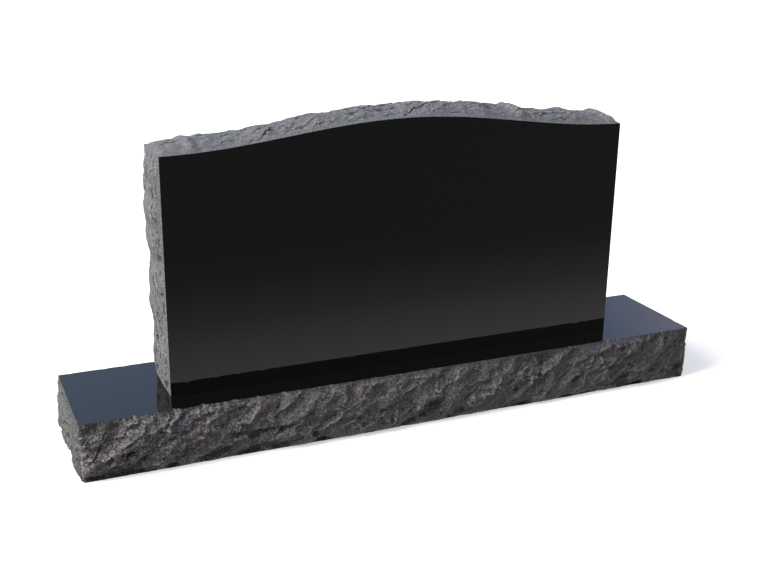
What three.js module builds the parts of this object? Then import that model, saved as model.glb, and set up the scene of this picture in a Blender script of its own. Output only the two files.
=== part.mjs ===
import * as THREE from 'three';

// A granite headstone: an upright tablet with a serpentine top, bedded on a long low base.
// The tablet's front and back and the base's top are polished flat. Every other face that
// shows is rock-pitched: struck off with a pitching chisel from its edges, so it swells out
// between straight arrises and is broken into shell-shaped scoops with sharp ridges between.
// Units are millimetres. X runs along the stone, -Y is the front, Z is up, and the origin
// is the centre of the base's underside.

// Tablet
const TABLET_WIDTH = 1219;
const TABLET_THICKNESS = 152;
const SHOULDER_HEIGHT = 578;
const SERPENTINE_RISE = 51;

// Base, cut to leave a ledge round the tablet
const BASE_HEIGHT = 146;
const END_LEDGE = 228.5;
const FACE_LEDGE = 76.5;
const BED_GAP = 0.3;

// How far the rock-pitched faces stand out beyond the straight line of their arrises
const TOP_SWELL = 17;
const SIDE_SWELL = 7;
const BASE_SWELL = 14;
const BASE_END_SWELL = 6;

// The swell dies away over these lengths towards the far ends of a face
const TOP_END_FADE = 45;
const SIDE_END_FADE = 30;
const BASE_END_FADE = 34;
// Share of the swell that is still there where the tablet's sides are sawn off at the bed
const BED_SWELL_SHARE = 0.15;
// Height above the ground, as a share of the base's height, where its sides stand out most
const BELLY_SHARE = 0.28;

// Broad uneven waves of the broken faces
const WAVE_LENGTH = 210;
const WAVE_WIDTH = 120;
const WAVE_DEPTH = 6;

// Scoops struck off by the chisel, leaning up to the right: long shells and short flakes over them
const SHELL_LENGTH = 150;
const SHELL_WIDTH = 70;
const SHELL_DEPTH = 15;
const SHELL_LEAN = THREE.MathUtils.degToRad(27);
const FLAKE_LENGTH = 60;
const FLAKE_WIDTH = 34;
const FLAKE_DEPTH = 12;
const FLAKE_LEAN = THREE.MathUtils.degToRad(38);

// The tablet's edges and the base's ends were struck more lightly than the base's long sides
const TABLET_ROUGHNESS = 0.45;
const BASE_END_ROUGHNESS = 0.45;

// Lumps and hollows that show in the tablet's outline: how far along, half length, height
const TOP_LUMPS = [
  [80, 21, 7],
  [120, 37, 4],
  [255, 38, 4],
  [385, 60, 6],
  [589, 84, -8],
  [823, 36, 4],
  [930, 26, 9],
  [1093, 50, 4],
  [1206, 28, 12],
];
const LEFT_LUMPS = [
  [540, 36, 4],
  [440, 45, 7],
  [320, 45, -6],
  [150, 45, -4],
];

// Margins along the arrises where the breaks start shallow
const BASE_MARGIN = 16;
const TABLET_MARGIN = 22;
const CORNER_MARGIN = 16;

// Size of the facets that the broken faces are made of
const FACET = 16;

const BASE_LENGTH = TABLET_WIDTH + 2 * END_LEDGE;
const BASE_DEPTH = TABLET_THICKNESS + 2 * FACE_LEDGE;
const BED_HEIGHT = BASE_HEIGHT + BED_GAP;

// A repeatable random number from 0 to 1 for each cell of a grid, by mixing its whole numbers.
const HASH_A = 374761393;
const HASH_B = 668265263;
const HASH_C = 1442695041;
const HASH_D = 1274126177;
const WHOLE_NUMBERS = 2 ** 32;
function cellRandom(column, row, salt) {
  let mixed = Math.imul(column, HASH_A) ^ Math.imul(row, HASH_B) ^ Math.imul(salt, HASH_C);
  mixed = Math.imul(mixed ^ (mixed >>> 13), HASH_D);
  mixed = Math.imul(mixed ^ (mixed >>> 15), HASH_A);
  mixed ^= mixed >>> 16;
  return (mixed >>> 0) / WHOLE_NUMBERS;
}

// The salt of each broken face, so that no two are broken alike
const SALT = {
  tabletLeft: 100, tabletRight: 300, tabletTop: 500,
  baseFront: 700, baseRight: 800, baseBack: 900, baseLeft: 1000,
};
const SHELL_SALT = 10;
const FLAKE_SALT = 20;

function smooth(share) {
  const t = THREE.MathUtils.clamp(share, 0, 1);
  return t * t * (3 - 2 * t);
}

// Rolling waves from -1 to 1: random heights at the cells' corners with smooth ground between.
function waves(along, across, salt) {
  const column = Math.floor(along);
  const row = Math.floor(across);
  const s = smooth(along - column);
  const t = smooth(across - row);
  const low = THREE.MathUtils.lerp(
    cellRandom(column, row, salt), cellRandom(column + 1, row, salt), s);
  const high = THREE.MathUtils.lerp(
    cellRandom(column, row + 1, salt), cellRandom(column + 1, row + 1, salt), s);
  return 2 * THREE.MathUtils.lerp(low, high, t) - 1;
}

// Long leaning bowls, steep at their upper side, that meet in sharp ridges: one in each cell of
// a bent grid, at a random place and height, and the lowest at any point is the surface. Gives
// the height about the mean, as a share of the bowls' depth.
const STEEP_ABOVE = 2;
const GENTLE_BELOW = 0.8;
const BOWL_SPREAD = 0.35;
const HIGHEST_RIDGE = 0.65;
const MEAN_BOWL = 0.3;
const BEND = 0.25;
const BEND_SIZE_SHARE = 0.55;
const BEND_SALT = 5;
function scoops(u, v, length, width, lean, salt) {
  const bendSize = BEND_SIZE_SHARE * width;
  const bendAlong = BEND * width / length * waves(u / bendSize, v / bendSize, salt + BEND_SALT);
  const bendAcross = BEND * waves(u / bendSize, v / bendSize, salt + BEND_SALT + 1);
  const along = (u * Math.cos(lean) + v * Math.sin(lean)) / length + bendAlong;
  const across = (v * Math.cos(lean) - u * Math.sin(lean)) / width + bendAcross;
  const column = Math.floor(along);
  const row = Math.floor(across);
  let lowest = HIGHEST_RIDGE;
  for (let i = column - 1; i <= column + 1; i += 1) {
    for (let j = row - 1; j <= row + 1; j += 1) {
      const du = along - i - cellRandom(i, j, salt);
      const dv = across - j - cellRandom(i, j, salt + 1);
      const wall = dv > 0 ? STEEP_ABOVE : GENTLE_BELOW;
      const bowl = du * du + wall * dv * dv + BOWL_SPREAD * cellRandom(i, j, salt + 2);
      lowest = Math.min(lowest, bowl);
    }
  }
  return lowest - MEAN_BOWL;
}

// Height of freely broken stone at u along a face and v across it
function broken(u, v, roughness, salt) {
  const wave = WAVE_DEPTH * waves(u / WAVE_LENGTH, v / WAVE_WIDTH, salt);
  const shell = scoops(u, v, SHELL_LENGTH, SHELL_WIDTH, SHELL_LEAN, salt + SHELL_SALT);
  const flake = scoops(u, v, FLAKE_LENGTH, FLAKE_WIDTH, FLAKE_LEAN, salt + FLAKE_SALT);
  return wave + roughness * (SHELL_DEPTH * shell + FLAKE_DEPTH * flake);
}

function endFade(u, length, reach) {
  return 1 - Math.exp(-Math.min(u, length - u) / reach);
}

// From 0 on a corner to 1 where the stone is broken freely
function awayFromCorner(u, length) {
  return smooth(Math.min(u, length - u) / CORNER_MARGIN);
}

// Height that the lumps and hollows of a face add at u along it
function lumpsAt(u, lumps) {
  return lumps.reduce(
    (height, [middle, reach, rise]) => height + rise * smooth(1 - Math.abs(u - middle) / reach), 0);
}

// How far a face of the tablet's edge stands out. It is pitched from the front and from the
// back: v runs from one to the other. swell is its own at that place along the edge.
const TABLET_ROUNDING = 2.6;
function tabletEdge(u, v, swell, free, lumps, salt) {
  const fromMiddle = Math.abs(2 * v / TABLET_THICKNESS - 1);
  const bulge = swell * (1 - fromMiddle ** TABLET_ROUNDING);
  const guard = free * smooth(Math.min(v, TABLET_THICKNESS - v) / TABLET_MARGIN);
  const relief = broken(u, v, TABLET_ROUGHNESS, salt) + lumpsAt(u, lumps);
  return Math.max(0, bulge + guard * relief);
}

// How far a side of the base stands out, pitched from its polished top and undercut at the ground
const SHOULDER_ROUNDING = 1.7;
const UNDERCUT_ROUNDING = 2;
const GROUND_SHARE = 0.25;
function baseSide(u, height, length, swell, roughness, salt) {
  const belly = BELLY_SHARE * BASE_HEIGHT;
  const above = THREE.MathUtils.clamp((height - belly) / (BASE_HEIGHT - belly), 0, 1);
  const below = THREE.MathUtils.clamp((belly - height) / belly, 0, 1);
  const rounded = (1 - above ** SHOULDER_ROUNDING) * (1 - below ** UNDERCUT_ROUNDING);
  const nearGround = THREE.MathUtils.lerp(GROUND_SHARE, 1, smooth(height / BASE_MARGIN));
  const guard = awayFromCorner(u, length) * smooth((BASE_HEIGHT - height) / BASE_MARGIN) * nearGround;
  const bulge = swell * endFade(u, length, BASE_END_FADE) * rounded;
  return bulge + guard * broken(u, height, roughness, salt);
}

// Height of the serpentine top's front arris above the bed
function topHeight(x) {
  const crown = (1 + Math.cos(2 * Math.PI * x / TABLET_WIDTH)) / 2;
  return SHOULDER_HEIGHT + SERPENTINE_RISE * crown;
}

// A closed mesh, built from numbered points
class Stone {
  positions = [];
  triangles = [];

  point(x, y, z) {
    this.positions.push(new THREE.Vector3(x, y, z));
    return this.positions.length - 1;
  }

  triangle(a, b, c) {
    this.triangles.push(a, b, c);
  }

  // Four points anticlockwise from outside, split along the shorter diagonal
  quad(a, b, c, d) {
    const p = this.positions;
    if (p[a].distanceTo(p[c]) <= p[b].distanceTo(p[d])) {
      this.triangle(a, b, c);
      this.triangle(a, c, d);
    } else {
      this.triangle(a, b, d);
      this.triangle(b, c, d);
    }
  }

  // A flat face between two rows of points that match one to one, where each end of the
  // rows is joined by a line of further points
  flat(near, far, startLine, endLine, facesBack) {
    const turn = (a, b, c) => (facesBack ? this.triangle(a, c, b) : this.triangle(a, b, c));
    const last = near.length - 1;
    for (let k = 1; k < startLine.length; k += 1) {
      turn(near[1], startLine[k], startLine[k - 1]);
    }
    turn(near[1], far[1], far[0]);
    for (let i = 1; i < last - 1; i += 1) {
      turn(near[i], near[i + 1], far[i + 1]);
      turn(near[i], far[i + 1], far[i]);
    }
    for (let k = 1; k < endLine.length; k += 1) {
      turn(near[last - 1], endLine[k - 1], endLine[k]);
    }
    turn(near[last - 1], far[last], far[last - 1]);
  }

  mesh(name, material) {
    const geometry = new THREE.BufferGeometry().setFromPoints(this.positions);
    geometry.setIndex(this.triangles);
    geometry.computeVertexNormals();
    const mesh = new THREE.Mesh(geometry, material);
    mesh.name = name;
    return mesh;
  }
}

// The tablet, made round its edge: up the left side, over the top and down the right side
function makeTablet(material) {
  const stone = new Stone();
  const acrossCount = Math.round(TABLET_THICKNESS / FACET);
  const sideCount = Math.round(SHOULDER_HEIGHT / FACET);
  const topCount = Math.round(TABLET_WIDTH / FACET);
  const half = TABLET_WIDTH / 2;

  function edgeRow(x, height, leftOut, topOut, rightOut) {
    const row = [];
    for (let j = 0; j <= acrossCount; j += 1) {
      const v = TABLET_THICKNESS * j / acrossCount;
      row.push(stone.point(
        x + rightOut(v) - leftOut(v), v - TABLET_THICKNESS / 2, BED_HEIGHT + height + topOut(v)));
    }
    return row;
  }

  const none = () => 0;
  const foot = (height) => THREE.MathUtils.lerp(BED_SWELL_SHARE, 1, smooth(height / (2 * SIDE_END_FADE)));
  const head = (height) => 1 - Math.exp((height - SHOULDER_HEIGHT) / SIDE_END_FADE);
  const side = (height, lumps, salt) => (v) => tabletEdge(
    height, v, SIDE_SWELL * foot(height) * head(height), awayFromCorner(height, SHOULDER_HEIGHT),
    lumps, salt);
  const top = (u) => (v) => tabletEdge(
    u, v, TOP_SWELL * endFade(u, TABLET_WIDTH, TOP_END_FADE), awayFromCorner(u, TABLET_WIDTH),
    TOP_LUMPS, SALT.tabletTop);

  const left = [];
  const right = [];
  for (let i = 0; i < sideCount; i += 1) {
    const height = SHOULDER_HEIGHT * i / sideCount;
    left.push(edgeRow(-half, height, side(height, LEFT_LUMPS, SALT.tabletLeft), none, none));
    right.push(edgeRow(half, height, none, none, side(height, [], SALT.tabletRight)));
  }
  const over = [];
  for (let i = 0; i <= topCount; i += 1) {
    const u = TABLET_WIDTH * i / topCount;
    over.push(edgeRow(u - half, topHeight(u - half), none, top(u), none));
  }

  const round = [...left, ...over, ...right.toReversed()];
  for (let i = 0; i + 1 < round.length; i += 1) {
    for (let j = 0; j < acrossCount; j += 1) {
      stone.quad(round[i][j], round[i + 1][j], round[i + 1][j + 1], round[i][j + 1]);
    }
  }

  // The bed edges, from the left side's foot to the right side's
  function bedEdge(j) {
    const y = j === 0 ? -TABLET_THICKNESS / 2 : TABLET_THICKNESS / 2;
    const edge = [left[0][j]];
    for (let i = 1; i < topCount; i += 1) {
      edge.push(stone.point(TABLET_WIDTH * i / topCount - half, y, BED_HEIGHT));
    }
    edge.push(right[0][j]);
    return edge;
  }
  const frontBed = bedEdge(0);
  const backBed = bedEdge(acrossCount);
  const arris = (rows, j) => rows.map((row) => row[j]);
  const polishedFace = (bed, j, facesBack) => stone.flat(
    bed, arris(over, j),
    arris([...left, over[0]], j), arris([...right, over[topCount]], j), facesBack);
  polishedFace(frontBed, 0, false);
  polishedFace(backBed, acrossCount, true);
  stone.flat(frontBed, backBed, left[0], right[0], true);
  return stone.mesh('tablet', material);
}

// The base, made round its plan: front, right end, back and left end
function makeBase(material) {
  const stone = new Stone();
  const lengthCount = Math.round(BASE_LENGTH / FACET);
  const depthCount = Math.round(BASE_DEPTH / FACET);
  const upCount = Math.round(BASE_HEIGHT / FACET);

  // One side from its first corner up to, but without, its last one
  function sideRows(corner, direction, outward, length, count, swell, roughness, salt) {
    const rows = [];
    for (let i = 0; i < count; i += 1) {
      const u = length * i / count;
      const row = [];
      for (let j = 0; j <= upCount; j += 1) {
        const height = BASE_HEIGHT * j / upCount;
        const place = corner.clone().addScaledVector(direction, u);
        place.addScaledVector(outward, baseSide(u, height, length, swell, roughness, salt));
        row.push(stone.point(place.x, place.y, height));
      }
      rows.push(row);
    }
    return rows;
  }

  const east = new THREE.Vector3(1, 0, 0);
  const north = new THREE.Vector3(0, 1, 0);
  const west = east.clone().negate();
  const south = north.clone().negate();
  const x = BASE_LENGTH / 2;
  const y = BASE_DEPTH / 2;
  const longSide = (cornerX, cornerY, direction, outward, salt) => sideRows(
    new THREE.Vector3(cornerX, cornerY, 0), direction, outward,
    BASE_LENGTH, lengthCount, BASE_SWELL, 1, salt);
  const end = (cornerX, cornerY, direction, outward, salt) => sideRows(
    new THREE.Vector3(cornerX, cornerY, 0), direction, outward,
    BASE_DEPTH, depthCount, BASE_END_SWELL, BASE_END_ROUGHNESS, salt);
  const front = longSide(-x, -y, east, south, SALT.baseFront);
  const rightEnd = end(x, -y, north, east, SALT.baseRight);
  const back = longSide(x, y, west, north, SALT.baseBack);
  const leftEnd = end(-x, y, south, west, SALT.baseLeft);

  const round = [...front, ...rightEnd, ...back, ...leftEnd];
  round.forEach((row, i) => {
    const next = round[(i + 1) % round.length];
    for (let j = 0; j < upCount; j += 1) {
      stone.quad(row[j], next[j], next[j + 1], row[j + 1]);
    }
  });

  const level = (j, facesDown) => {
    const line = (rows, closing) => [...rows, closing].map((row) => row[j]);
    stone.flat(
      line(front, rightEnd[0]), line(back, leftEnd[0]).reverse(),
      line(leftEnd, front[0]).reverse(), line(rightEnd, back[0]), facesDown);
  };
  level(upCount, false);
  level(0, true);
  return stone.mesh('base', material);
}

const granite = () => new THREE.MeshStandardMaterial({ color: 0x2b2b2e, roughness: 0.35, metalness: 0 });

const headstone = new THREE.Group();
headstone.name = 'headstone';
headstone.add(makeBase(granite()), makeTablet(granite()));

export default headstone;
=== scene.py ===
import math

import bpy
import numpy as np
from mathutils import Matrix, Vector


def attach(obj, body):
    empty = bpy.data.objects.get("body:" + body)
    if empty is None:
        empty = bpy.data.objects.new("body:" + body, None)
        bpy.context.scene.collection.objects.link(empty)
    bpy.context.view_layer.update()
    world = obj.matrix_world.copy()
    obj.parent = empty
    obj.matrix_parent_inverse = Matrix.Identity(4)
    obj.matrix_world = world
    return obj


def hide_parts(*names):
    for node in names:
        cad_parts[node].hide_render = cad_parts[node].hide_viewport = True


# A granite headstone with polished faces and rock-pitched edges, on its polished base.
# Everything is in metres. X runs along the stone, -Y is the front and Z is up.

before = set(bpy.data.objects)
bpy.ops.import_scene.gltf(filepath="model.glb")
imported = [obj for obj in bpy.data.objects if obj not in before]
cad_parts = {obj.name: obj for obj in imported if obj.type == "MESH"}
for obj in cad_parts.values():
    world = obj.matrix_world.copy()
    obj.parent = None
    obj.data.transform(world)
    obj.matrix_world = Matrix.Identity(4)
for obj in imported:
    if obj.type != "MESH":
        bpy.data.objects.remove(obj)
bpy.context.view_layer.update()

# The two stones, arris to arris
TABLET_WIDTH = 1.219
TABLET_THICKNESS = 0.152
SHOULDER_HEIGHT = 0.578
SERPENTINE_RISE = 0.051
BASE_HEIGHT = 0.146
BASE_LENGTH = 1.676
BASE_DEPTH = 0.305
BED_HEIGHT = 0.1463

# Swell of the rock-pitched faces beyond the line of their arrises
TOP_SWELL = 0.017
SIDE_SWELL = 0.007
BASE_SWELL = 0.014
BASE_END_SWELL = 0.006
TOP_END_FADE = 0.045
SIDE_END_FADE = 0.030
BASE_END_FADE = 0.034
BED_SWELL_SHARE = 0.15
BELLY_SHARE = 0.28
TABLET_ROUNDING = 2.6
UPPER_ROUNDING = 1.7
LOWER_ROUNDING = 2

# The large breaks: rolling waves, then scoops struck off by the chisel in two sizes
WAVE_LENGTH = 0.210
WAVE_WIDTH = 0.120
WAVE_DEPTH = 0.006
SHELL_LENGTH = 0.150
SHELL_WIDTH = 0.070
SHELL_DEPTH = 0.015
SHELL_LEAN = math.radians(27)
FLAKE_LENGTH = 0.060
FLAKE_WIDTH = 0.034
FLAKE_DEPTH = 0.012
FLAKE_LEAN = math.radians(38)
STEEP_ABOVE = 2.0
GENTLE_BELOW = 0.8
BOWL_SPREAD = 0.35
HIGHEST_RIDGE = 0.65
MEAN_BOWL = 0.30
BEND = 0.25
BEND_SIZE = 0.55
BASE_ROUGHNESS = 1.0
TABLET_ROUGHNESS = 0.45
BASE_END_ROUGHNESS = 0.45

# The small breaks: spalls, flat scars and grit, stronger in some patches than in others
SPALL_LENGTH = 0.024
SPALL_WIDTH = 0.015
SPALL_DEPTH = 0.004
SPALL_LEAN = math.radians(15)
SCAR_LENGTH = 0.050
SCAR_WIDTH = 0.022
SCAR_DEPTH = 0.0022
SCAR_LEAN = math.radians(38)
SCAR_LEVELS = 1.2
SCAR_SLOPE = 0.9
SCAR_SHARE = 0.7
SCAR_SHARE_OF_ROUGHNESS = 0.4
GRIT_SIZE = 0.009
GRIT_DEPTH = 0.0014
FINE_ROUGHNESS = 0.72
PATCH_LENGTH = 0.13
PATCH_WIDTH = 0.09
PATCH_LEAST = 0.5
PATCH_CONTRAST = 0.6

# Small ragged pits, darkened with painted shade
PIT_SIZE = 0.014
PIT_STRETCH = 1.5
PIT_CHANCE = 0.33
PIT_DEPTH = 0.0025
PIT_SHADE = 2.0
PIT_EDGE = 6
PIT_PATCH_EDGE = 3
PIT_PATCH_SHARE = 0.2

# Smooth margin that the chisel left along an arris, and the chips out of the arris itself
BASE_MARGIN = 0.016
TABLET_MARGIN = 0.022
CHIP_SIZE = 0.020
CHIP_REACH = 0.012
CHIP_DEPTH = 0.030
CHIP_CHANCE = 0.10
CHIP_FADE = 0.03
MIDDLE_CHIPPING = 0.12
FRONT_CHIPPING = 1.0
BACK_CHIPPING = 0.15
END_CHIPPING = 0.2
CORNER_CHIPPING = 0.4

# Calm places at the corners and along the foot, where little is broken out
CORNER_CALM = 0.15
CORNER_CALM_REACH = 0.016
FOOT_CALM = 0.25
FOOT_CALM_REACH = 0.016

# Undercut places below the base's belly, just above the ground
UNDERCUT_LENGTH = 0.060
UNDERCUT_WIDTH = 0.022
UNDERCUT_HEIGHT = 0.065
UNDERCUT_LEAN = math.radians(20)
UNDERCUT_DEPTH = 0.012
UNDERCUT_WAVES = 1.6
UNDERCUT_GRAIN = 1.0
UNDERCUT_GRAIN_SIZE = 0.02
UNDERCUT_EDGE = 1.4
UNDERCUT_THRESHOLD = 0.8
UNDERCUT_THINNING = 0.4
FOOT_LIP = 0.006

# Lumps and hollows of the pitched edges: how far along, half length, height
TOP_LUMPS = (
    (0.080, 0.021, 0.007),
    (0.120, 0.037, 0.004),
    (0.255, 0.038, 0.004),
    (0.385, 0.060, 0.006),
    (0.589, 0.084, -0.008),
    (0.823, 0.036, 0.004),
    (0.930, 0.026, 0.009),
    (1.093, 0.050, 0.004),
    (1.206, 0.028, 0.012),
)
LEFT_LUMPS = (
    (0.540, 0.036, 0.004),
    (0.440, 0.045, 0.007),
    (0.320, 0.045, -0.006),
    (0.150, 0.045, -0.004),
)

# Tone of the broken stone: above 0 on ridges, a bruise that is partly painted highlight, below 0 in
# crevices, which is painted shade
NEIGHBOUR = 0.003
RIDGE_HEIGHT = 0.0005
RIDGE_LIMIT = 2
NICK_HEIGHT = 0.0008
NICK_DARKEST = -2.2
NICK_PALEST = 1.5
NICK_CALM = 0.6
NICK_CALM_SLOPE = 1.6
NICK_CALM_START = 0.4
BASE_BRUISE_AND_HIGHLIGHT = 1.0
TABLET_BRUISE_AND_HIGHLIGHT = 0.5
END_SHADE = -0.35
PAINTED_LIGHT_FALLOFF = 0.28
MARGIN_SHADE = 0.7
MARGIN_SHADE_THINNING = 0.7
MARGIN_SHADE_REACH = 0.022
UNDERCUT_SHADE = 1.1
FOOT_SHADE = 0.3
CORNER_BRUISE_AND_HIGHLIGHT = 2.2
CORNER_BRUISE_AND_HIGHLIGHT_REACH = 0.006
CORNER_BRUISE_AND_HIGHLIGHT_GRAIN = 0.012

# Random streams: one for each face, and one for each kind of break on it
BASE_FRONT_SALT = 700
BASE_LEFT_SALT = 1000
BASE_BACK_SALT = 900
BASE_RIGHT_SALT = 800
TABLET_TOP_SALT = 500
TABLET_LEFT_SALT = 100
TABLET_RIGHT_SALT = 300
BEND_SALT = 5
SHELL_SALT = 10
FLAKE_SALT = 20
SPALL_SALT = 30
SCAR_SALT = 35
GRIT_SALT = 40
PATCH_SALT = 45
UNDERCUT_SALT = 50
ARRIS_CHIP_SALT = 60
CORNER_CHIP_SALT = 70
CORNER_BRUISE_AND_HIGHLIGHT_SALT = 80
PIT_SALT = 90

# Mixing of whole numbers into random ones
COLUMN_FACTOR = 374761393
ROW_FACTOR = 668265263
SALT_FACTOR = 1442695041
MIX_FACTOR = 1274126177
WORD = 2 ** 32
OCTAVE_SHIFT = 17.3
OCTAVE_FALL = 0.55
FINE_OCTAVES = 3
CHIP_OCTAVES = 4

# Fineness of the meshes: panels that each face is sawn into, then cuts across each panel
BASE_PANELS_ALONG = 11
BASE_PANELS_DEEP = 2
BASE_CUTS = 53
TABLET_PANELS_WIDE = 8
TABLET_PANELS_HIGH = 4
TABLET_CUTS = 62
NEAR = 1e-5
FLAT = 0.999
SMOOTH_ANGLE = math.radians(38)

# Polished finish
POLISH_FLECK_SCALE = 420
POLISH_STOPS = ((0.42, (0.0012, 0.0012, 0.0018)), (0.78, (0.0035, 0.0036, 0.0045)))
POLISH_ROUGHNESS = 0.03
POLISH_IOR = 1.52

# Pitched finish: colour of each stone, the base's made darker than the tablet's as painted shade,
# and its speckling at the left and at the right
BASE_STONE_DARKENED_FOR_SHADE = (0.080, 0.078, 0.0775)
BASE_SPECKLE = (2.3, 0.8)
TABLET_STONE = (0.124, 0.123, 0.123)
TABLET_SPECKLE = (0.7, 0.7)
SPECKLE_REACH = 0.8
CRYSTALS = (230, 3, 0.8)
TONE_SHARE = 0.19
DARK_STOP = 0.28
DARK_SHARE = 0.25
STONE_STOP = 0.5
PALE_STOP = 0.78
PALE_SHARE = 3
TINT_PATCHES = (11, 2, 0.5)
TINT_STOPS = (
    (0.34, (0.96, 1.0, 0.94)),
    (0.66, (1.0, 0.93, 0.97)),
    (0.46, (1.0, 1.0, 0.99)),
    (0.56, (1.06, 1.0, 0.93)),
)
PITCHED_ROUGHNESS = 0.62
BUMPS = (240, 3, 0.65)
BUMP_STRENGTH = 0.8
BUMP_HEIGHT = 0.003

# Floor, mirrored ground, sky and sun
FLOOR_SIZE = 400
FLOOR_COLOUR = (0.77, 0.70, 0.575, 1)
FLOOR_ROUGHNESS = 0.9
FLOOR_GLOW = 0.46
GROUND_SIZE = 40
GROUND_DROP = 0.002
GROUND_FAR = -1.6
GROUND_NEAR = -0.4
GROUND_LEVELS = ((0, 0.18), (1, 0.78), (0.25, 0.21), (0.40, 0.28), (0.57, 0.37), (0.75, 0.56))
SKY_BEHIND = ((0.10, (0.42, 0.54, 0.75)), (0.60, (0.67, 0.69, 0.89)), (0.52, (0.24, 0.39, 0.68)))
SKY_IN_FRONT = (0.54, 0.515, 0.50, 1)
SKY_ABOVE = (0.28, 0.37, 0.66, 1)
SKY_BEHIND_FROM = (-0.3, 0.2)
SKY_ABOVE_FROM = (0.45, 0.9)
SKY_HORIZON = (-0.4, 0.1)
SKY_BELOW_STRENGTH = 0.12
SUN_TOWARDS = (0.88, -0.01, -0.66)
SUN_STRENGTH = 5.6
SUN_SPREAD = math.radians(31)
SUN_COLOUR = (1.0, 0.985, 0.965)

# The view of the photograph
LENS = 52.5
SENSOR = 36.0
CAMERA_PLACE = Vector((-1.1286, -2.5037, 1.2568))
CAMERA_AZIMUTH = math.radians(-23.74)
CAMERA_ELEVATION = math.radians(18.94)
CAMERA_ROLL = math.radians(0.81)


# Repeatable randomness

def cell_random(column, row, salt):
    """A random number from 0 to 1 for each cell of a grid, by mixing its whole numbers."""
    mixed = column.astype(np.int64).astype(np.uint32) * np.uint32(COLUMN_FACTOR)
    mixed ^= row.astype(np.int64).astype(np.uint32) * np.uint32(ROW_FACTOR)
    mixed ^= np.uint32((salt * SALT_FACTOR) % WORD)
    mixed = (mixed ^ (mixed >> np.uint32(13))) * np.uint32(MIX_FACTOR)
    mixed = (mixed ^ (mixed >> np.uint32(15))) * np.uint32(COLUMN_FACTOR)
    mixed ^= mixed >> np.uint32(16)
    return mixed / float(WORD)


def smooth(share):
    """Eases a share from 0 to 1."""
    t = np.clip(share, 0, 1)
    return t * t * (3 - 2 * t)


def waves(along, across, salt):
    """Rolling ground from -1 to 1."""
    column, row = np.floor(along), np.floor(across)
    s, t = smooth(along - column), smooth(across - row)
    low = cell_random(column, row, salt) * (1 - s) + cell_random(column + 1, row, salt) * s
    high = cell_random(column, row + 1, salt) * (1 - s) + cell_random(column + 1, row + 1, salt) * s
    return 2 * (low * (1 - t) + high * t) - 1


def grain(u, v, size, octaves, salt):
    """Fractal ground from about -1 to 1, whose largest waves measure size."""
    total, height = 0, 1.0
    for octave in range(octaves):
        total = total + height * waves(u / size + OCTAVE_SHIFT * octave, v / size, salt + octave)
        size, height = size / 2, height * OCTAVE_FALL
    return total * 0.5


def leaning(u, v, lean):
    """The same place along and across a direction that leans."""
    return u * math.cos(lean) + v * math.sin(lean), v * math.cos(lean) - u * math.sin(lean)


def wavering_grid(u, v, length, width, lean, bend_along, salt):
    """Places on a leaning grid with cells of length by width, whose lines waver."""
    along, across = leaning(u, v, lean)
    along, across = along / length, across / width
    bend_size = BEND_SIZE * width
    along = along + bend_along * waves(u / bend_size, v / bend_size, salt + BEND_SALT)
    across = across + BEND * waves(u / bend_size, v / bend_size, salt + BEND_SALT + 1)
    return along, across


def cells_around(along, across, salt):
    """The nine cells around each place: each one's column and row, and the way from its heart."""
    column, row = np.floor(along), np.floor(across)
    for i in (-1, 0, 1):
        for j in (-1, 0, 1):
            ci, cj = column + i, row + j
            du = along - ci - cell_random(ci, cj, salt)
            dv = across - cj - cell_random(ci, cj, salt + 1)
            yield ci, cj, du, dv


# The broken stone

def scoops(u, v, length, width, lean, salt):
    """Long leaning bowls, steep at their upper side, that meet in sharp ridges."""
    along, across = wavering_grid(u, v, length, width, lean, BEND * width / length, salt)
    lowest = np.full(u.shape, HIGHEST_RIDGE)
    for ci, cj, du, dv in cells_around(along, across, salt):
        wall = np.where(dv > 0, STEEP_ABOVE, GENTLE_BELOW)
        bowl = du * du + wall * dv * dv + BOWL_SPREAD * cell_random(ci, cj, salt + 2)
        lowest = np.minimum(lowest, bowl)
    return lowest - MEAN_BOWL


def struck(u, v, roughness, salt):
    """Height of the rolling ground and of the larger scoops."""
    wave = WAVE_DEPTH * waves(u / WAVE_LENGTH, v / WAVE_WIDTH, salt)
    shell = SHELL_DEPTH * scoops(u, v, SHELL_LENGTH, SHELL_WIDTH, SHELL_LEAN, salt + SHELL_SALT)
    flake = FLAKE_DEPTH * scoops(u, v, FLAKE_LENGTH, FLAKE_WIDTH, FLAKE_LEAN, salt + FLAKE_SALT)
    return wave + roughness * (shell + flake)


def scars(u, v, length, width, lean, salt):
    """Flat scars, each with its own height and slope, that end in steps."""
    along, across = wavering_grid(u, v, length, width, lean, BEND, salt)
    nearest = np.full(u.shape, np.inf)
    level = np.zeros(u.shape)
    for ci, cj, du, dv in cells_around(along, across, salt):
        far = du * du + dv * dv
        flat = SCAR_LEVELS * cell_random(ci, cj, salt + 2) - SCAR_LEVELS / 2 - SCAR_SLOPE * dv
        level = np.where(far < nearest, flat, level)
        nearest = np.minimum(nearest, far)
    return level


def patchiness(u, v, salt):
    """Which patches of a face are broken finely, from -1 to 1."""
    return waves(u / PATCH_LENGTH, v / PATCH_WIDTH, salt + PATCH_SALT)


def spalled(u, v, roughness, salt):
    """Height of the scars, the small spalls and the grit, which lie in patches."""
    lean = roughness * SCAR_LEAN
    scar_depth = (SCAR_SHARE + SCAR_SHARE_OF_ROUGHNESS * roughness) * SCAR_DEPTH
    scar = scar_depth * scars(u, v, SCAR_LENGTH, SCAR_WIDTH, lean, salt + SCAR_SALT)
    spall = SPALL_DEPTH * scoops(u, v, SPALL_LENGTH, SPALL_WIDTH, SPALL_LEAN, salt + SPALL_SALT)
    grit = GRIT_DEPTH * grain(u, v, GRIT_SIZE, FINE_OCTAVES, salt + GRIT_SALT)
    patch = PATCH_LEAST + smooth(0.5 + PATCH_CONTRAST * patchiness(u, v, salt))
    return patch * max(roughness, FINE_ROUGHNESS) * (scar + spall + grit)


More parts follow.
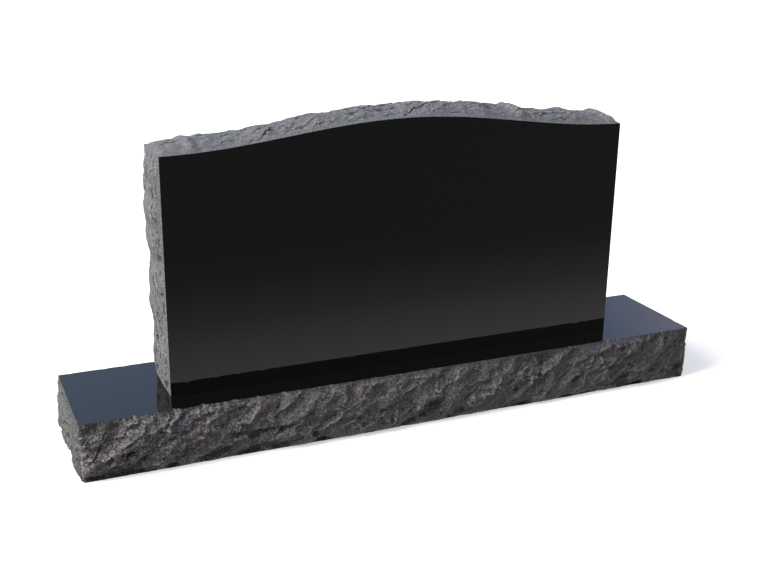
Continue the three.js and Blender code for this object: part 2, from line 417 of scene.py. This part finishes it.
def height_and_step(surface, u, v, roughness, salt):
    """Height of a surface, and how far it stands above the points around it."""
    height = surface(u, v, roughness, salt)
    around = 0
    for du, dv in ((-1, 0), (1, 0), (0, -1), (0, 1)):
        around = around + surface(u + NEIGHBOUR * du, v + NEIGHBOUR * dv, roughness, salt) / 4
    return height, height - around


def pits(u, v, salt):
    """Small ragged pits that lie in patches, 1 at their heart and 0 outside."""
    pit = grain(u / PIT_STRETCH, v, PIT_SIZE, FINE_OCTAVES, salt) - PIT_CHANCE
    patch = patchiness(u, v, salt) + PIT_PATCH_SHARE
    return np.clip(PIT_EDGE * pit, 0, 1) * np.clip(PIT_PATCH_EDGE * patch, 0, 1)


def rock(u, v, roughness, bruise_and_highlight, nicks, salt):
    """Height of broken stone, and its tone, to which small breaks add the share nicks: pale on
    ridges, a bruise partly painted as highlight, and painted shade in crevices and pits.
    """
    large, ridge = height_and_step(struck, u, v, roughness, salt)
    small, nick = height_and_step(spalled, u, v, roughness, salt)
    pit = pits(u, v, salt + PIT_SALT)
    # Pale on raised points, a bruise with painted highlight, and dark in hollows, which is painted
    # shade
    tone = np.clip(ridge / RIDGE_HEIGHT, -RIDGE_LIMIT, RIDGE_LIMIT)
    tone = tone + nicks * np.clip(nick / NICK_HEIGHT, NICK_DARKEST, NICK_PALEST)
    tone = np.where(tone > 0, bruise_and_highlight * tone, tone)
    # The pits are darkened with painted shade, besides their real depth
    return large + small - PIT_DEPTH * pit, tone - PIT_SHADE * pit


def chips(u, from_arris, salt):
    """Depth of the small sharp breaks out of an arris."""
    broken = np.maximum(0, grain(u, np.zeros(u.shape), CHIP_SIZE, CHIP_OCTAVES, salt) - CHIP_CHANCE)
    return CHIP_DEPTH * broken * np.clip(1 - from_arris / CHIP_REACH, 0, 1)


def undercuts(u, height, salt):
    """Ragged leaning hollows along the foot, 1 at their heart and 0 outside."""
    along, across = leaning(u, height, UNDERCUT_LEAN)
    low = 1 - height / UNDERCUT_HEIGHT
    ragged = UNDERCUT_WAVES * waves(along / UNDERCUT_LENGTH, across / UNDERCUT_WIDTH, salt)
    ragged = ragged + UNDERCUT_GRAIN * grain(u, height, UNDERCUT_GRAIN_SIZE, FINE_OCTAVES, salt + 3)
    hollow = low + ragged - UNDERCUT_THRESHOLD - UNDERCUT_THINNING * u / BASE_LENGTH
    return np.clip(UNDERCUT_EDGE * hollow, 0, 1) * (low > 0)


def end_fade(u, length, reach):
    """0 at both ends of a face, and nearly 1 a few reaches away."""
    return 1 - np.exp(-np.minimum(u, length - u) / reach)


def near_corner(u, length):
    """Shares the breaks out: nearly none right at a corner, and all of them a little away."""
    from_corner = np.minimum(u, length - u)
    return CORNER_CALM + (1 - CORNER_CALM) * smooth(from_corner / CORNER_CALM_REACH)


def lumps_at(u, lumps):
    """Height of the lumps along an edge."""
    bumps = (rise * smooth(1 - np.abs(u - at) / reach) for at, reach, rise in lumps)
    return sum(bumps, np.zeros(u.shape))


def tablet_edge(u, v, swell, swell_fade, break_fade, lumps, salt):
    """How far a pitched face of the tablet stands out, and its tone."""
    from_middle = np.abs(2 * v / TABLET_THICKNESS - 1)
    from_arris = np.minimum(v, TABLET_THICKNESS - v)
    bulge = swell_fade * swell * (1 - from_middle ** TABLET_ROUNDING)
    relief, tone = rock(u, v, TABLET_ROUGHNESS, TABLET_BRUISE_AND_HIGHLIGHT, 1.0, salt)
    guard = break_fade * smooth(from_arris / TABLET_MARGIN)
    return np.maximum(0, bulge + guard * (relief + lumps_at(u, lumps))), tone * guard


def base_side(u, height, length, swell, roughness, chipping, end_shade, salt):
    """How far a side of the base stands out at a height above the ground, and its tone."""
    from_arris = BASE_HEIGHT - height
    from_corner = np.minimum(u, length - u)
    belly = BELLY_SHARE * BASE_HEIGHT
    above = np.clip((height - belly) / (BASE_HEIGHT - belly), 0, 1)
    below = np.clip((belly - height) / belly, 0, 1)
    bulge = swell * end_fade(u, length, BASE_END_FADE)
    bulge = bulge * (1 - above ** UPPER_ROUNDING) * (1 - below ** LOWER_ROUNDING)

    nicks = 1 - NICK_CALM * smooth(NICK_CALM_SLOPE * u / BASE_LENGTH - NICK_CALM_START)
    relief, tone = rock(u, height, roughness, BASE_BRUISE_AND_HIGHLIGHT, nicks, salt)
    corner = near_corner(u, length)
    foot = FOOT_CALM + (1 - FOOT_CALM) * smooth(height / FOOT_CALM_REACH)
    guard = corner * smooth(from_arris / BASE_MARGIN) * foot

    from_middle = np.abs(2 * u / length - 1)
    to_the_ends = MIDDLE_CHIPPING + (1 - MIDDLE_CHIPPING) * from_middle ** 2
    along_arris = chips(u, from_arris, salt + ARRIS_CHIP_SALT)
    chipped = chipping * smooth(from_corner / CHIP_FADE) * to_the_ends * along_arris
    up_the_corner = chips(height, from_corner, salt + CORNER_CHIP_SALT)
    chipped = chipped + CORNER_CHIPPING * smooth(from_arris / CHIP_FADE) * up_the_corner
    lip = smooth(height / FOOT_LIP)
    undercut = corner * undercuts(u, height, salt + UNDERCUT_SALT)

    # A pale line down each corner: a bruise, and painted highlight where the corner catches the
    # light
    at_corner = 1 - smooth(from_corner / CORNER_BRUISE_AND_HIGHLIGHT_REACH)
    uneven = 1 + grain(height, u, CORNER_BRUISE_AND_HIGHLIGHT_GRAIN, FINE_OCTAVES, salt + CORNER_BRUISE_AND_HIGHLIGHT_SALT)
    at_margin = 1 - smooth(from_arris / MARGIN_SHADE_REACH)
    tone = tone * guard + CORNER_BRUISE_AND_HIGHLIGHT * at_corner * uneven + end_shade
    # Painted light: paler at the start of each side and darker at its end
    tone = tone + PAINTED_LIGHT_FALLOFF * (1 - 2 * u / length)
    tone = tone - MARGIN_SHADE * (1 - MARGIN_SHADE_THINNING * u / length) * at_margin
    # Painted shade in the undercuts and along the foot
    tone = tone - UNDERCUT_SHADE * undercut - FOOT_SHADE * (1 - lip)
    return bulge + guard * relief - chipped - UNDERCUT_DEPTH * lip * undercut, tone


def top_rise(x):
    """Height of the serpentine top above the line of the shoulders."""
    return SERPENTINE_RISE * (1 + np.cos(2 * math.pi * x / TABLET_WIDTH)) / 2


# Modelling helpers

def deselect():
    bpy.ops.object.select_all(action="DESELECT")


def only(piece):
    deselect()
    piece.select_set(True)
    bpy.context.view_layer.objects.active = piece


def block(name, size, place):
    """A squared block of stone, at its size and place."""
    deselect()
    bpy.ops.mesh.primitive_cube_add(size=1, location=place)
    piece = bpy.context.object
    piece.name = name
    piece.scale = size
    bpy.ops.object.transform_apply(location=True, rotation=True, scale=True)
    return piece


def saw(piece, axis, low, high, panels):
    """Bisects the block into equal panels along one axis."""
    only(piece)
    bpy.ops.object.mode_set(mode="EDIT")
    normal = [0, 0, 0]
    normal[axis] = 1
    for k in range(1, panels):
        place = [0, 0, 0]
        place[axis] = low + (high - low) * k / panels
        bpy.ops.mesh.select_all(action="SELECT")
        bpy.ops.mesh.bisect(plane_co=place, plane_no=normal)
    bpy.ops.object.mode_set(mode="OBJECT")


def pick_faces(piece, wanted):
    """Selects the faces for which wanted(centre, normal) holds, and leaves edit mode on."""
    only(piece)
    bpy.ops.object.mode_set(mode="EDIT")
    bpy.ops.mesh.select_mode(type="FACE")
    bpy.ops.mesh.select_all(action="DESELECT")
    bpy.ops.object.mode_set(mode="OBJECT")
    for face in piece.data.polygons:
        face.select = wanted(face.center, face.normal)
    bpy.ops.object.mode_set(mode="EDIT")


def part_faces(piece, wanted, cuts):
    """Subdivides the wanted faces into a fine grid."""
    pick_faces(piece, wanted)
    bpy.ops.mesh.subdivide(number_cuts=cuts, smoothness=0, ngon=True)
    bpy.ops.object.mode_set(mode="OBJECT")


def fill_anew(piece, wanted):
    """Fills a flat face with triangles once more, after its outline has been broken."""
    pick_faces(piece, wanted)
    bpy.ops.mesh.dissolve_faces()
    bpy.ops.mesh.delete(type="ONLY_FACE")
    bpy.ops.mesh.select_mode(type="EDGE")
    bpy.ops.mesh.select_non_manifold()
    bpy.ops.mesh.fill(use_beauty=True)
    bpy.ops.object.mode_set(mode="OBJECT")


def points_of(piece):
    flat = np.empty(len(piece.data.vertices) * 3, np.float32)
    piece.data.vertices.foreach_get("co", flat)
    return flat.reshape(-1, 3).astype(float)


def set_points(piece, points):
    piece.data.vertices.foreach_set("co", points.astype(np.float32).ravel())
    piece.data.update()


def store(piece, name, values):
    """Keeps one number for each point of the mesh, for the material to read."""
    layer = piece.data.attributes.new(name, "FLOAT", "POINT")
    layer.data.foreach_set("value", values.astype(np.float32))


# The two stones

def is_base_side(_, normal):
    return abs(normal.z) < 0.5


def is_base_top(centre, normal):
    return centre.z > BASE_HEIGHT - NEAR and abs(normal.z) > FLAT


def is_base_underside(centre, normal):
    return centre.z < NEAR and abs(normal.z) > FLAT


def is_base_flat(centre, normal):
    return is_base_top(centre, normal) or is_base_underside(centre, normal)


def is_tablet_edge(_, normal):
    return abs(normal.x) > 0.5 or normal.z > 0.5


def is_tablet_face(centre, normal):
    return abs(normal.y) > FLAT and abs(abs(centre.y) - TABLET_THICKNESS / 2) < NEAR


def make_base():
    base = block("base_stone", (BASE_LENGTH, BASE_DEPTH, BASE_HEIGHT), (0, 0, BASE_HEIGHT / 2))
    saw(base, 0, -BASE_LENGTH / 2, BASE_LENGTH / 2, BASE_PANELS_ALONG)
    saw(base, 1, -BASE_DEPTH / 2, BASE_DEPTH / 2, BASE_PANELS_DEEP)
    part_faces(base, is_base_side, BASE_CUTS)
    p = points_of(base)
    x, y, z = p.T
    tone = np.zeros(len(p))
    front = (BASE_LENGTH, BASE_SWELL, BASE_ROUGHNESS, FRONT_CHIPPING, 0.0)
    back = (BASE_LENGTH, BASE_SWELL, BASE_ROUGHNESS, BACK_CHIPPING, 0.0)
    # The ends of the base are darkened with painted shade
    end = (BASE_DEPTH, BASE_END_SWELL, BASE_END_ROUGHNESS, END_CHIPPING, END_SHADE)
    sides = (
        (0, -1, x + BASE_LENGTH / 2, y + BASE_DEPTH / 2, front, BASE_FRONT_SALT),
        (1, 0, y + BASE_DEPTH / 2, x - BASE_LENGTH / 2, end, BASE_RIGHT_SALT),
        (0, 1, BASE_LENGTH / 2 - x, y - BASE_DEPTH / 2, back, BASE_BACK_SALT),
        (-1, 0, BASE_DEPTH / 2 - y, x + BASE_LENGTH / 2, end, BASE_LEFT_SALT),
    )
    moved = p.copy()
    for nx, ny, u, off, kind, salt in sides:
        on = np.abs(off) < NEAR
        out, tone[on] = base_side(u[on], z[on], *kind, salt)
        moved[on, 0] += nx * out
        moved[on, 1] += ny * out
    set_points(base, moved)
    store(base, "painted_light_and_bruise", tone)
    fill_anew(base, is_base_top)
    fill_anew(base, is_base_underside)
    return base


def make_tablet():
    size = (TABLET_WIDTH, TABLET_THICKNESS, SHOULDER_HEIGHT)
    tablet = block("tablet_stone", size, (0, 0, BED_HEIGHT + SHOULDER_HEIGHT / 2))
    saw(tablet, 0, -TABLET_WIDTH / 2, TABLET_WIDTH / 2, TABLET_PANELS_WIDE)
    saw(tablet, 2, BED_HEIGHT, BED_HEIGHT + SHOULDER_HEIGHT, TABLET_PANELS_HIGH)
    part_faces(tablet, is_tablet_edge, TABLET_CUTS)
    p = points_of(tablet)
    x, y, z = p.T
    v = y + TABLET_THICKNESS / 2
    height = z - BED_HEIGHT
    tone = np.zeros(len(p))
    moved = p.copy()

    on = np.abs(height - SHOULDER_HEIGHT) < NEAR
    u = x[on] + TABLET_WIDTH / 2
    swell_fade = end_fade(u, TABLET_WIDTH, TOP_END_FADE)
    break_fade = near_corner(u, TABLET_WIDTH)
    out, tone[on] = tablet_edge(
        u, v[on], TOP_SWELL, swell_fade, break_fade, TOP_LUMPS, TABLET_TOP_SALT)
    moved[on, 2] += top_rise(x[on]) + out

    for side, lumps, salt in ((-1, LEFT_LUMPS, TABLET_LEFT_SALT), (1, (), TABLET_RIGHT_SALT)):
        on = np.abs(x - side * TABLET_WIDTH / 2) < NEAR
        h = height[on]
        foot = BED_SWELL_SHARE + (1 - BED_SWELL_SHARE) * smooth(h / (2 * SIDE_END_FADE))
        swell_fade = foot * (1 - np.exp((h - SHOULDER_HEIGHT) / SIDE_END_FADE))
        break_fade = near_corner(h, SHOULDER_HEIGHT)
        out, tone[on] = tablet_edge(h, v[on], SIDE_SWELL, swell_fade, break_fade, lumps, salt)
        moved[on, 0] += side * out
    set_points(tablet, moved)
    store(tablet, "painted_light_and_bruise", tone)
    return tablet


# Finishes

def new_material(name):
    material = bpy.data.materials.new(name)
    material.use_nodes = True
    return material, material.node_tree.nodes, material.node_tree.links


def noise(nodes, links, place, scale, detail, roughness):
    """A noise pattern on the stone's own coordinates."""
    pattern = nodes.new("ShaderNodeTexNoise")
    pattern.inputs["Scale"].default_value = scale
    pattern.inputs["Detail"].default_value = detail
    pattern.inputs["Roughness"].default_value = roughness
    links.new(place.outputs["Object"], pattern.inputs["Vector"])
    return pattern.outputs["Fac"]


def ramp_of(nodes, links, fac, stops):
    """A colour ramp: its first and last stop, then the ones between them."""
    ramp = nodes.new("ShaderNodeValToRGB")
    elements = ramp.color_ramp.elements
    for k, (position, colour) in enumerate(stops):
        stop = elements[k] if k < 2 else elements.new(position)
        stop.position = position
        stop.color = (*colour, 1)
    links.new(fac, ramp.inputs["Fac"])
    return ramp.outputs["Color"]


def multiply_add(nodes, links, *terms):
    """First times second plus third, each a number or another node's output."""
    node = nodes.new("ShaderNodeMath")
    node.operation = "MULTIPLY_ADD"
    for socket, term in zip(node.inputs, terms):
        if isinstance(term, float):
            socket.default_value = term
        else:
            links.new(term, socket)
    return node.outputs["Value"]


def map_range(nodes, links, value, low, high, out_low, out_high):
    """Maps low and high to out_low and out_high, and keeps within them."""
    node = nodes.new("ShaderNodeMapRange")
    node.inputs["From Min"].default_value = low
    node.inputs["From Max"].default_value = high
    node.inputs["To Min"].default_value = out_low
    node.inputs["To Max"].default_value = out_high
    links.new(value, node.inputs["Value"])
    return node.outputs["Result"]


def polished_granite():
    """Nearly black granite with a mirror polish and faint flecks."""
    material, nodes, links = new_material("polished_black_granite")
    shader = nodes["Principled BSDF"]
    place = nodes.new("ShaderNodeTexCoord")
    flecks = noise(nodes, links, place, POLISH_FLECK_SCALE, 3, 0.5)
    tone = ramp_of(nodes, links, flecks, POLISH_STOPS)
    links.new(tone, shader.inputs["Base Color"])
    shader.inputs["Roughness"].default_value = POLISH_ROUGHNESS
    shader.inputs["IOR"].default_value = POLISH_IOR
    return material


def pitched_granite(name, stone, speckle):
    """Dark broken granite: pale crystals, pale along the ridges as a bruise that is partly painted
    highlight, painted shade in crevices, pits, undercuts and at the ends, with faint tints.
    """
    material, nodes, links = new_material(name)
    shader = nodes["Principled BSDF"]
    place = nodes.new("ShaderNodeTexCoord")
    parts = nodes.new("ShaderNodeSeparateXYZ")
    links.new(place.outputs["Object"], parts.inputs["Vector"])
    crystals = noise(nodes, links, place, *CRYSTALS)
    about_middle = multiply_add(nodes, links, crystals, 1.0, -0.5)
    strength = map_range(
        nodes, links, parts.outputs["X"], -SPECKLE_REACH, SPECKLE_REACH, *speckle)
    specks = multiply_add(nodes, links, about_middle, strength, 0.5)
    # The stored tone: bruise with painted highlight on ridges and corners, painted shade in
    # crevices, pits, undercuts and at the ends
    ridge = nodes.new("ShaderNodeAttribute")
    ridge.attribute_name = "painted_light_and_bruise"
    speckle_bruise_and_painted_light = multiply_add(nodes, links, ridge.outputs["Fac"], TONE_SHARE, specks)
    tone = ramp_of(nodes, links, speckle_bruise_and_painted_light, (
        (DARK_STOP, [DARK_SHARE * c for c in stone]),
        (PALE_STOP, [PALE_SHARE * c for c in stone]),
        (STONE_STOP, stone)))
    tint = ramp_of(nodes, links, noise(nodes, links, place, *TINT_PATCHES), TINT_STOPS)
    colour = nodes.new("ShaderNodeMix")
    colour.data_type = "RGBA"
    colour.blend_type = "MULTIPLY"
    colour.inputs["Factor"].default_value = 1.0
    links.new(tone, colour.inputs["A"])
    links.new(tint, colour.inputs["B"])
    links.new(colour.outputs["Result"], shader.inputs["Base Color"])
    shader.inputs["Roughness"].default_value = PITCHED_ROUGHNESS
    bump = nodes.new("ShaderNodeBump")
    bump.inputs["Strength"].default_value = BUMP_STRENGTH
    bump.inputs["Distance"].default_value = BUMP_HEIGHT
    links.new(noise(nodes, links, place, *BUMPS), bump.inputs["Height"])
    links.new(bump.outputs["Normal"], shader.inputs["Normal"])
    return material


def dress(piece, node, polished, pitched, is_polished):
    """Gives the flat faces the polish and the broken ones the pitched finish."""
    piece.data.materials.append(pitched)
    piece.data.materials.append(polished)
    pick_faces(piece, is_polished)
    bpy.ops.object.mode_set(mode="OBJECT")
    for face in piece.data.polygons:
        face.material_index = 1 if face.select else 0
    only(piece)
    bpy.ops.object.shade_smooth_by_angle(angle=SMOOTH_ANGLE)
    for face in piece.data.polygons:
        face.use_smooth = face.material_index == 0
    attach(piece, "root")
    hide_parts(node)


# The floor, the light and the camera

def flat_sheet(name, place, size):
    deselect()
    bpy.ops.mesh.primitive_plane_add(size=1, location=place)
    sheet = bpy.context.object
    sheet.name = name
    sheet.scale = (size, size, 1)
    bpy.ops.object.transform_apply(location=True, rotation=True, scale=True)
    return sheet


def make_floor():
    """A white floor for the camera, which throws no light back on the stone."""
    floor = flat_sheet("floor", (0, 0, 0), FLOOR_SIZE)
    material, nodes, _ = new_material("pale_floor")
    shader = nodes["Principled BSDF"]
    shader.inputs["Base Color"].default_value = FLOOR_COLOUR
    shader.inputs["Roughness"].default_value = FLOOR_ROUGHNESS
    shader.inputs["Emission Color"].default_value = (1, 1, 1, 1)
    shader.inputs["Emission Strength"].default_value = FLOOR_GLOW
    floor.data.materials.append(material)
    floor.visible_glossy = False
    floor.visible_diffuse = False


def make_ground_card():
    """The ground that the polish mirrors: bright close by, darker away in front."""
    card = flat_sheet("ground_card", (0, 0, -GROUND_DROP), GROUND_SIZE)
    material, nodes, links = new_material("ground_glow")
    nodes.remove(nodes["Principled BSDF"])
    glow = nodes.new("ShaderNodeEmission")
    place = nodes.new("ShaderNodeTexCoord")
    parts = nodes.new("ShaderNodeSeparateXYZ")
    links.new(place.outputs["Object"], parts.inputs["Vector"])
    share = map_range(nodes, links, parts.outputs["Y"], GROUND_FAR, GROUND_NEAR, 0, 1)
    tone = ramp_of(nodes, links, share, [(stop, (level,) * 3) for stop, level in GROUND_LEVELS])
    links.new(tone, glow.inputs["Color"])
    links.new(glow.outputs["Emission"], nodes["Material Output"].inputs["Surface"])
    card.data.materials.append(material)
    card.visible_camera = False
    card.visible_shadow = False
    card.visible_diffuse = False


def make_sun():
    light = bpy.data.lights.new("daylight", "SUN")
    light.energy = SUN_STRENGTH
    light.angle = SUN_SPREAD
    light.color = SUN_COLOUR
    holder = bpy.data.objects.new("daylight", light)
    bpy.context.scene.collection.objects.link(holder)
    holder.rotation_euler = Vector(SUN_TOWARDS).to_track_quat("-Z", "Y").to_euler()


def mixed_colour(nodes, links, factor, colour_socket, colour, plain):
    """A plain colour and a colour from another node, mixed by a factor."""
    mix = nodes.new("ShaderNodeMix")
    mix.data_type = "RGBA"
    other = "A" if colour_socket == "B" else "B"
    links.new(factor, mix.inputs["Factor"])
    links.new(colour, mix.inputs[colour_socket])
    mix.inputs[other].default_value = plain
    return mix.outputs["Result"]


def make_sky():
    """A blue sky, dimmer in front than behind, over dark ground. The camera sees it white."""
    world = bpy.data.worlds.new("sky")
    bpy.context.scene.world = world
    world.use_nodes = True
    nodes, links = world.node_tree.nodes, world.node_tree.links
    direction = nodes.new("ShaderNodeTexCoord")
    parts = nodes.new("ShaderNodeSeparateXYZ")
    links.new(direction.outputs["Generated"], parts.inputs["Vector"])
    blue = ramp_of(nodes, links, parts.outputs["X"], SKY_BEHIND)
    behind = map_range(nodes, links, parts.outputs["Y"], *SKY_BEHIND_FROM, 0, 1)
    around = mixed_colour(nodes, links, behind, "B", blue, SKY_IN_FRONT)
    high = map_range(nodes, links, parts.outputs["Z"], *SKY_ABOVE_FROM, 0, 1)
    colour = mixed_colour(nodes, links, high, "A", around, SKY_ABOVE)
    strength = map_range(nodes, links, parts.outputs["Z"], *SKY_HORIZON, SKY_BELOW_STRENGTH, 1)
    sky = nodes["Background"]
    links.new(colour, sky.inputs["Color"])
    links.new(strength, sky.inputs["Strength"])
    ray = nodes.new("ShaderNodeLightPath")
    white = nodes.new("ShaderNodeBackground")
    white.inputs["Color"].default_value = (1, 1, 1, 1)
    shown = nodes.new("ShaderNodeMixShader")
    links.new(ray.outputs["Is Camera Ray"], shown.inputs["Fac"])
    links.new(sky.outputs["Background"], shown.inputs[1])
    links.new(white.outputs["Background"], shown.inputs[2])
    links.new(shown.outputs["Shader"], nodes["World Output"].inputs["Surface"])


def make_camera():
    data = bpy.data.cameras.new("photo_view")
    data.lens = LENS
    data.sensor_width = SENSOR
    camera = bpy.data.objects.new("photo_view", data)
    bpy.context.scene.collection.objects.link(camera)
    back = Vector((
        math.sin(CAMERA_AZIMUTH) * math.cos(CAMERA_ELEVATION),
        -math.cos(CAMERA_AZIMUTH) * math.cos(CAMERA_ELEVATION),
        math.sin(CAMERA_ELEVATION)))
    level = Vector((math.cos(CAMERA_AZIMUTH), math.sin(CAMERA_AZIMUTH), 0))
    upright = back.cross(level)
    right = math.cos(CAMERA_ROLL) * level + math.sin(CAMERA_ROLL) * upright
    up = math.cos(CAMERA_ROLL) * upright - math.sin(CAMERA_ROLL) * level
    camera.matrix_world = Matrix((
        (right.x, up.x, back.x, CAMERA_PLACE.x),
        (right.y, up.y, back.y, CAMERA_PLACE.y),
        (right.z, up.z, back.z, CAMERA_PLACE.z),
        (0, 0, 0, 1)))
    bpy.context.scene.camera = camera


make_camera()
make_floor()
make_ground_card()
make_sky()
make_sun()
bpy.context.scene.view_settings.view_transform = "Standard"

polished = polished_granite()
# The base's copy of the granite is darker, as painted shade
base_pitched = pitched_granite("pitched_granite_of_the_base_darkened_for_shade", BASE_STONE_DARKENED_FOR_SHADE, BASE_SPECKLE)
tablet_pitched = pitched_granite("pitched_granite_of_the_tablet", TABLET_STONE, TABLET_SPECKLE)
base = make_base()
tablet = make_tablet()
dress(base, "base", polished, base_pitched, is_base_flat)
dress(tablet, "tablet", polished, tablet_pitched, is_tablet_face)
